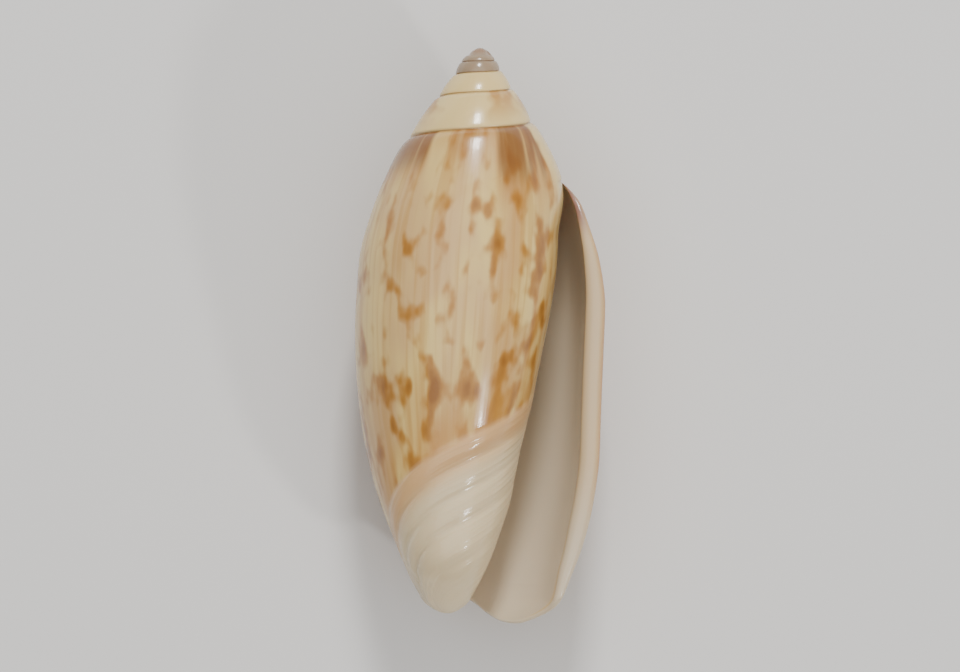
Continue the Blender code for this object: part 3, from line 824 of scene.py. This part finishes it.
def close_apex(mesh, columns):
    """Dome over the first whorl."""
    last = len(columns) - 1
    first = column_start(COLUMNS + last)
    ring = [columns[last - i][0] for i in range(COLUMNS + 1)]
    ring += columns[last][-2:0:-1]
    for width, height in APEX_RINGS:
        inner = [mesh.verts.new((vert.co.x * width, vert.co.y * height, vert.co.z * width))
                 for vert in ring]
        for i, vert in enumerate(ring):
            j = (i + 1) % len(ring)
            mark(mesh, mesh.faces.new((vert, ring[j], inner[j], inner[i])), first, SPIRE)
        ring = inner
    apex = mesh.verts.new((0.0, 0.0, 0.0))
    for i, vert in enumerate(ring):
        mark(mesh, mesh.faces.new((vert, ring[(i + 1) % len(ring)], apex)), first, SPIRE)


def settle(points):
    """Shift that puts the lowest point REST_FLATTENING under the floor, X and Y centred."""
    lows = [min(point[i] for point in points) for i in range(3)]
    highs = [max(point[i] for point in points) for i in range(3)]
    return (-(lows[0] + highs[0]) / 2.0, -(lows[1] + highs[1]) / 2.0, -lows[2] - REST_FLATTENING)


def around(start):
    """Length along the whorls, in millimetres, on which the patterns lie."""
    return PATTERN_STRETCH * suture_radius(start) * 2.0 * math.pi / math.log(SUTURE_WIDENING)


def flame_share(start, depth):
    """Brown flames that hang from the suture of the last whorl."""
    below = depth - suture_depth(start)
    angle = start + lip_lead(depth)
    total = 0.0
    for first, last, strength, length in FLAMES:
        fade = 1.0 - smoothstep(below / length - 0.3)
        total += strength * band(angle, first, last, FLAME_SOFTNESS) * fade
    return min(total, 1.0)


def blotch_density(angle, depth):
    """How much of the surface the blotches cover: dense on the back, sparse in front."""
    base, on_back, by_aperture, low_down = BLOTCH_SHARES
    back = band(angle, *BLOTCHED_BACK)
    beside = 1.0 - rise(angle, *BLOTCHED_FRONT)
    low = rise(depth, *BLOTCHED_LOW) * (1.0 - rise(depth, *BLOTCHED_LOW_END))
    return min(base + on_back * back + by_aperture * beside + low_down * low, 1.0)


def paint_masks(mesh):
    """Corner attributes that the material reads: where each kind of surface begins and ends."""
    growth = mesh.loops.layers.float_vector["growth"]
    surface = mesh.loops.layers.float_vector.new("surface")
    zones = mesh.loops.layers.float_color.new("zones")
    marks = mesh.loops.layers.float_color.new("marks")
    lines = mesh.loops.layers.float_color.new("lines")
    known = {}
    for face in mesh.faces:
        for loop in face.loops:
            key = tuple(round(value, 5) for value in loop[growth])
            if key not in known:
                known[key] = masks(*key)
            loop[surface], loop[zones], loop[marks], loop[lines] = known[key]


def outside_masks(start, depth, angle, level, below):
    """Masks of the last whorl: fasciole, callus by the aperture, flames, blotches and lip."""
    fasciole = smoothstep(level / FASCIOLE_SOFTNESS + 0.5) * (1.0 - rise(angle, *FASCIOLE_END))
    callus_edge = mix(*CALLUS_EDGES, rise(depth, *CALLUS_EDGE_TURN))
    callus = 1.0 - rise(angle, callus_edge, CALLUS_SOFTNESS)
    callus *= mix(1.0, CALLUS_THIN_SHARE, rise(depth, *CALLUS_THINNING))
    hem = FLAME_HEM_SHARE * (1.0 - smoothstep(below / FLAME_HEM))
    return {
        "fasciole": fasciole,
        "callus": callus,
        "flame": max(flame_share(start, depth), hem),
        "density": blotch_density(angle, depth) * (1.0 - callus),
        "pale": rise(start, *PALE_LIP) * rise(below, *PALE_LIP_TOP),
        # Dark brown line below the suture, with painted shade in its groove
        "seam_and_shade": 1.0 - smoothstep(below / SEAM_AND_SHADE_WIDTH),
        "stain": band(start, *STAIN_ANGLES) * (1.0 - rise(below, *STAIN_END)),
        "edge_line": rise(start, *EDGE_LINE) * band(depth, *EDGE_LINE_DEPTHS),
    }


def spire_masks(start, depth, below):
    """Masks of the spire: glazed all over, dark brown along the sutures with painted shade in their
    grooves, greyish first whorls.
    """
    next_suture = suture_depth(start + 360.0)
    size = suture_radius(start + 360.0) / suture_radius(LIP_ANGLE)
    # Painted shade in the suture grooves, above the next suture under the whorl's overhang and below
    # this one, with a brown line
    clear = smoothstep((next_suture - depth) / (1.2 * SEAM_AND_SHADE_WIDTH * size))
    clear *= smoothstep(below / (SEAM_AND_SHADE_WIDTH * size))
    flame = rise(start, *SPIRE_PATCHES)
    flame *= 1.0 - smoothstep(below / (next_suture - suture_depth(start)) - 0.05)
    return {
        "callus": 1.0,
        "protoconch": 1.0 - rise(start, *PROTOCONCH_END),
        "flame": flame,
        "seam_and_shade": 1.0 - clear,
    }


def edge_masks(sheet, depth, below, across):
    """Masks of the rolled edge of the lip and the siphonal margin."""
    found = {
        "rim": smoothstep(across / 0.35),
        "pale": 1.0,
        "inside": 0.8 * rise(depth, *WHITE_MARGIN),
        "edge_line": (1.0 - smoothstep(across / 0.3)) * band(depth, *EDGE_LINE_DEPTHS),
    }
    if sheet == LIP:
        found["stain"] = (1.0 - rise(below, *RIM_STAIN_END)) * mix(0.35, 1.0, smoothstep(across / 0.6))
    return found


def masks(start, depth, code):
    """Attributes of a corner: its place on the shell, then its share of each marking."""
    sheet = int(code)
    across = (code - sheet) * 2.0
    angle = start + lip_lead(depth)
    level = depth - slant(angle) - FOLD_LINES[0]
    below = depth - suture_depth(start)
    if sheet == OUTSIDE:
        found = outside_masks(start, depth, angle, level, below)
    elif sheet == SPIRE:
        found = spire_masks(start, depth, below)
    elif sheet == KNOB:
        found = {"fasciole": 1.0}
    elif sheet in (LIP, MARGIN):
        found = edge_masks(sheet, depth, below, across)
    else:
        inside = smoothstep((LIP_ANGLE - start) / 8.0 + 0.2)
        found = {"inside": max(inside, 0.6) if sheet == INNER_WALL else inside}
    values = [tuple(found.get(name, 0.0) for name in names) for names in (ZONES, MARKS, LINES)]
    return ((around(angle), depth, level), values[0], values[1], (*values[2], 1.0))


class Nodes:
    """Short calls for building a material's node tree."""

    def __init__(self, tree):
        self.tree = tree

    def put(self, kind, **values):
        """A new node with these settings."""
        node = self.tree.nodes.new(kind)
        for name, value in values.items():
            setattr(node, name, value)
        return node

    def join(self, source, target):
        """Gives a socket a link or a value."""
        if isinstance(source, bpy.types.NodeSocket):
            self.tree.links.new(source, target)
        else:
            target.default_value = source

    def math(self, operation, first, second):
        node = self.put("ShaderNodeMath", operation=operation)
        self.join(first, node.inputs[0])
        self.join(second, node.inputs[1])
        return node.outputs[0]

    def times(self, first, second):
        return self.math("MULTIPLY", first, second)

    def plus(self, first, second):
        return self.math("ADD", first, second)

    def less(self, first, second):
        return self.math("SUBTRACT", first, second)

    def ramp(self, value, low, high):
        """0 below the low value, 1 above the high one, smooth in between."""
        node = self.put("ShaderNodeMapRange", interpolation_type="SMOOTHSTEP")
        self.join(value, node.inputs["Value"])
        self.join(low, node.inputs["From Min"])
        self.join(high, node.inputs["From Max"])
        return node.outputs[0]

    def blend(self, first, second, share):
        """Two colours, mixed by a share from 0 to 1."""
        node = self.put("ShaderNodeMix", data_type="RGBA")
        self.join(share, node.inputs["Factor"])
        self.join(first, node.inputs[6])
        self.join(second, node.inputs[7])
        return node.outputs[2]

    def attribute(self, name):
        return self.put("ShaderNodeAttribute", attribute_name=name).outputs

    def split(self, source, kind="Color"):
        """The parts of a colour, or of a vector as kind XYZ."""
        node = self.put("ShaderNodeSeparate" + kind)
        self.join(source, node.inputs[0])
        return node.outputs

    def noise(self, vector, detail):
        """Noise from 0 to 1, one cell to a unit."""
        node = self.put("ShaderNodeTexNoise", noise_dimensions="3D")
        self.join(vector, node.inputs["Vector"])
        node.inputs["Scale"].default_value = 1.0
        node.inputs["Detail"].default_value = detail
        return node.outputs["Fac"]

    def pattern(self, coords, kind):
        """Noise with its own frequency round the shell and along it."""
        round_shell, along, detail = kind
        node = self.put("ShaderNodeMapping")
        self.join(coords, node.inputs["Vector"])
        node.inputs["Scale"].default_value = (round_shell, along, 0.0)
        return self.noise(node.outputs[0], detail)


def ground_colour(tree, coords, density, clouds):
    """Cream ground with pinkish clouds and axial streaks."""
    ground = tree.blend(CREAM, PINK_CREAM, tree.ramp(clouds, 0.40, 0.62))
    streaks = tree.ramp(tree.pattern(coords, FINE_STREAKS), 0.46, 0.64)
    ground = tree.blend(ground, TAN, tree.times(streaks, 0.50))
    broad = tree.ramp(tree.pattern(coords, BROAD_STREAKS), 0.42, 0.60)
    wash = tree.times(broad, tree.ramp(density, 0.25, 0.9))
    return tree.blend(ground, WARM_TAN, tree.times(wash, 0.60))


def add_blotches(tree, colour, coords, density):
    """Orange-brown blotches with soft edges, in axial rows."""
    small = tree.less(tree.pattern(coords, SMALL_BLOTCHES), 0.5)
    rows = tree.less(tree.pattern(coords, BLOTCH_ROWS), 0.5)
    spots = tree.plus(tree.pattern(coords, BLOTCHES), tree.times(small, 0.16))
    spots = tree.plus(spots, tree.times(rows, 0.28))
    spots = tree.plus(spots, tree.times(tree.less(density, 0.5), 0.20))
    colour = tree.blend(colour, ORANGE_BROWN, tree.times(tree.ramp(spots, 0.47, 0.67), 0.88))
    return tree.blend(colour, DARK_BROWN, tree.times(tree.ramp(spots, 0.60, 0.82), 0.75))


def add_flames(tree, colour, coords, flame):
    """Brown flames below the suture, darker inside."""
    streaks = tree.ramp(tree.pattern(coords, FLAME_STREAKS), 0.10, 0.50)
    share = tree.times(flame, streaks)
    flame_colour = tree.blend(FLAME_EDGE, FLAME_INSIDE, tree.ramp(share, 0.35, 0.80))
    return tree.blend(colour, flame_colour, tree.times(share, 0.92))


def glaze_colour(tree, coords, flame):
    """Glaze of the spire, with a few brown patches."""
    patches = tree.ramp(tree.pattern(coords, GLAZE_PATCHES), 0.47, 0.60)
    return tree.blend(GLAZE, ORANGE_BROWN, tree.times(tree.times(flame, patches), 0.75))


def add_relief(tree, surface, coords, level, fasciole):
    """Fine growth lines, and fine ridges that run with the folds."""
    growth_lines = tree.pattern(coords, GROWTH_LINES)
    along = tree.split(coords, "XYZ")[0]
    ridge_place = tree.put("ShaderNodeCombineXYZ")
    tree.join(tree.times(level, RIDGES_ACROSS), ridge_place.inputs[0])
    tree.join(tree.times(along, RIDGES_ALONG), ridge_place.inputs[1])
    ridges = tree.times(tree.noise(ridge_place.outputs[0], RIDGES_DETAIL), fasciole)
    relief = tree.put("ShaderNodeBump")
    relief.inputs["Strength"].default_value = 0.5
    relief.inputs["Distance"].default_value = RELIEF_HEIGHT
    tree.join(tree.plus(tree.times(growth_lines, 0.08), ridges), relief.inputs["Height"])
    tree.join(relief.outputs[0], surface.inputs["Normal"])


def shell_material():
    """Glossy shell: each kind of surface lies over the one before by its mask."""
    material = bpy.data.materials.new("olive_shell")
    material.use_nodes = True
    tree = Nodes(material.node_tree)
    surface = material.node_tree.nodes["Principled BSDF"]

    coords = tree.attribute("surface")["Vector"]
    level = tree.split(coords, "XYZ")[2]
    zones, marks, lines = (tree.attribute(name) for name in ("zones", "marks", "lines"))
    callus, fasciole, inside = tree.split(zones["Color"])[0:3]
    flame, rim, density = tree.split(marks["Color"])[0:3]
    seam_and_shade, stain, edge_line = tree.split(lines["Color"])[0:3]
    protoconch, pale = zones["Alpha"], marks["Alpha"]

    clouds = tree.pattern(coords, CLOUDS)
    colour = ground_colour(tree, coords, density, clouds)
    colour = add_blotches(tree, colour, coords, density)
    near_folds = tree.times(tree.ramp(level, -2.6, -0.2), tree.ramp(clouds, 0.36, 0.54))
    near_folds = tree.times(near_folds, tree.less(1.0, fasciole))
    colour = tree.blend(colour, OCHRE, tree.times(near_folds, 0.65))
    colour = add_flames(tree, colour, coords, flame)

    colour = tree.blend(colour, glaze_colour(tree, coords, flame), callus)
    colour = tree.blend(colour, PROTOCONCH, protoconch)
    fold_white = tree.blend(FASCIOLE_UPPER, FASCIOLE_WHITE, tree.ramp(level, 0.7, 2.2))
    colour = tree.blend(colour, fold_white, fasciole)
    colour = tree.blend(colour, LIP_BAND, tree.times(pale, 0.6))
    colour = tree.blend(colour, RIM, rim)
    colour = tree.blend(colour, INSIDE, inside)
    # Brown suture lines, which also paint the shade in the suture grooves
    colour = tree.blend(colour, SUTURE_BROWN_AND_SHADE, tree.times(seam_and_shade, 0.45))
    colour = tree.blend(colour, PURPLE_STAIN, tree.times(stain, 0.75))
    colour = tree.blend(colour, RIM_LINE, tree.times(edge_line, 0.6))
    tree.join(colour, surface.inputs["Base Color"])
    add_relief(tree, surface, coords, level, fasciole)

    surface.inputs["Roughness"].default_value = 0.22
    surface.inputs["IOR"].default_value = 1.5
    surface.inputs["Coat Weight"].default_value = 0.2
    surface.inputs["Coat Roughness"].default_value = 0.08
    surface.inputs["Subsurface Weight"].default_value = 0.12
    surface.inputs["Subsurface Radius"].default_value = (0.0010, 0.0006, 0.0004)
    surface.inputs["Subsurface Scale"].default_value = 1.0
    return material


def plain_material(name, colour, roughness):
    """One colour all over."""
    material = bpy.data.materials.new(name)
    material.use_nodes = True
    surface = material.node_tree.nodes["Principled BSDF"]
    surface.inputs["Base Color"].default_value = colour
    surface.inputs["Roughness"].default_value = roughness
    return material


def build_piece():
    """The shell's mesh, settled on its flat spot and scaled to metres."""
    mesh = build_shell()
    paint_masks(mesh)
    shift = settle([tuple(vert.co) for vert in mesh.verts])
    for vert in mesh.verts:
        vert.co.z = max(vert.co.z, -shift[2])
        vert.co = [(value + offset) * MM for value, offset in zip(vert.co, shift)]
    bmesh.ops.recalc_face_normals(mesh, faces=mesh.faces)
    data = bpy.data.meshes.new("olive_shell")
    mesh.to_mesh(data)
    mesh.free()
    data.shade_smooth()
    data.materials.append(shell_material())
    piece = bpy.data.objects.new("olive_shell", data)
    bpy.context.scene.collection.objects.link(piece)
    return piece


def build_floor():
    """Square floor at height 0."""
    data = bpy.data.meshes.new("floor")
    half = FLOOR_SIZE / 2.0
    data.from_pydata([(-half, -half, 0.0), (half, -half, 0.0), (half, half, 0.0),
                      (-half, half, 0.0)], [], [(0, 1, 2, 3)])
    data.materials.append(plain_material("floor", FLOOR_COLOUR, 0.7))
    floor = bpy.data.objects.new("floor", data)
    bpy.context.scene.collection.objects.link(floor)
    return floor


def softbox(name, location, width, height, power, target):
    """An area light that faces a point."""
    data = bpy.data.lights.new(name, "AREA")
    data.shape = "RECTANGLE"
    data.size, data.size_y = width, height
    data.energy = power
    light = bpy.data.objects.new(name, data)
    light.location = location
    light.rotation_euler = (Vector(target) - Vector(location)).to_track_quat("-Z", "Y").to_euler()
    bpy.context.scene.collection.objects.link(light)
    return light


def build_stage(centre):
    """Floor, soft lights and an even pale sky."""
    floor = build_floor()
    lights = [softbox(*values, centre) for values in LIGHTS]
    world = bpy.data.worlds.new("studio")
    world.use_nodes = True
    sky = world.node_tree.nodes["Background"]
    sky.inputs["Color"].default_value = (1.0, 1.0, 1.0, 1.0)
    sky.inputs["Strength"].default_value = WORLD_STRENGTH
    bpy.context.scene.world = world


def build_camera(centre):
    """Long lens, straight down on the aperture side, apex up in the picture."""
    data = bpy.data.cameras.new("camera")
    data.sensor_width = CAMERA_SENSOR
    data.lens = CAMERA_SENSOR * CAMERA_DISTANCE / PICTURE_WIDTH
    data.clip_start, data.clip_end = 0.01, 10.0
    camera = bpy.data.objects.new("camera", data)
    camera.location = (centre[0], centre[1], centre[2] + CAMERA_DISTANCE)
    bpy.context.scene.collection.objects.link(camera)
    bpy.context.scene.camera = camera


shell = build_piece()
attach(shell, "root")
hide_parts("shell")
build_stage(SHELL_MIDDLE)
build_camera(SHELL_MIDDLE)
